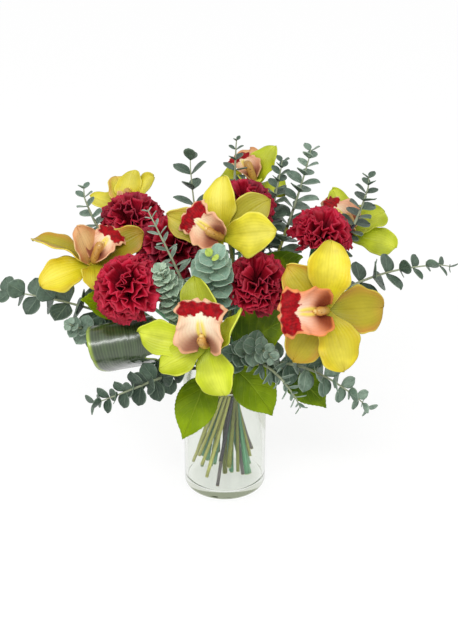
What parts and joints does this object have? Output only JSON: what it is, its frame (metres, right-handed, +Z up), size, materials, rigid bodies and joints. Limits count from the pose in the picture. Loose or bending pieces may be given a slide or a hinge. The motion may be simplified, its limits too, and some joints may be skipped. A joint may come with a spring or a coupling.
{
  "type": "cymbidium orchid bouquet in a vase",
  "caption": "Tied bouquet of cymbidium orchids, red carnations, eucalyptus and green leaves standing in a clear glass cylinder vase.",
  "frame": {"origin": "centre of the vase's flat base", "axes": "+Z up along the vase's axis, -Y towards the front of the bouquet, +X to the right seen from the front"},
  "size_m": [0.4906, 0.2783, 0.394],
  "materials": {
    "clear_glass": "clear, polished, faintly green in its thick base",
    "twine": "rough natural twine",
    "orchid_tepal": "waxy yellow to lime green petals with fine veins and paler rims",
    "orchid_lip": "velvety dark red lip with a peach wavy rim and yellow keels",
    "carnation_petal": "matt dark crimson ruffled petals",
    "green_stem": "smooth green cut stems",
    "eucalyptus_leaf": "blue-grey green leaves with a powdery bloom",
    "oval_leaf": "leathery olive green leaf with a satin sheen",
    "strap_leaf": "glossy dark green leaf with fine parallel veins"
  },
  "bodies": {
    "root": {"carnation_back_left_head": "carnation_petal", "carnation_back_left_stem": "green_stem", "carnation_back_top_head": "carnation_petal", "carnation_back_top_stem": "green_stem", "carnation_centre_head": "carnation_petal", "carnation_centre_stem": "green_stem", "carnation_left_head": "carnation_petal", "carnation_left_stem": "green_stem", "carnation_right_head": "carnation_petal", "carnation_right_stem": "green_stem", "carnation_upper_left_head": "carnation_petal", "carnation_upper_left_stem": "green_stem", "eucalyptus_back_left": "eucalyptus_leaf", "eucalyptus_back_right": "eucalyptus_leaf", "eucalyptus_far_left": "eucalyptus_leaf", "eucalyptus_far_right": "eucalyptus_leaf", "eucalyptus_low_left": "eucalyptus_leaf", "eucalyptus_low_right": "eucalyptus_leaf", "eucalyptus_mid_left": "eucalyptus_leaf", "eucalyptus_mint": "eucalyptus_leaf", "eucalyptus_rosette": "eucalyptus_leaf", "eucalyptus_slim_front": "eucalyptus_leaf", "eucalyptus_slim_left": "eucalyptus_leaf", "eucalyptus_top": "eucalyptus_leaf", "eucalyptus_top_middle": "eucalyptus_leaf", "eucalyptus_top_right": "eucalyptus_leaf", "eucalyptus_under_centre": "eucalyptus_leaf", "eucalyptus_upper_left": "eucalyptus_leaf", "leaf_back": "oval_leaf", "leaf_behind_right": "oval_leaf", "leaf_front_left": "oval_leaf", "leaf_front_right": "oval_leaf", "leaf_inner_right": "oval_leaf", "leaf_left": "oval_leaf", "leaf_right": "oval_leaf", "orchid_back_left_lip": "orchid_lip", "orchid_back_left_stem": "green_stem", "orchid_back_left_tepals": "orchid_tepal", "orchid_back_right_lip": "orchid_lip", "orchid_back_right_stem": "green_stem", "orchid_back_right_tepals": "orchid_tepal", "orchid_back_top_lip": "orchid_lip", "orchid_back_top_stem": "green_stem", "orchid_back_top_tepals": "orchid_tepal", "orchid_front_lip": "orchid_lip", "orchid_front_stem": "green_stem", "orchid_front_tepals": "orchid_tepal", "orchid_left_lip": "orchid_lip", "orchid_left_stem": "green_stem", "orchid_left_tepals": "orchid_tepal", "orchid_right_lip": "orchid_lip", "orchid_right_stem": "green_stem", "orchid_right_tepals": "orchid_tepal", "orchid_top_lip": "orchid_lip", "orchid_top_stem": "green_stem", "orchid_top_tepals": "orchid_tepal", "strap_leaf": "strap_leaf", "twine": "twine", "vase": "clear_glass"}
  },
  "joints": []
}
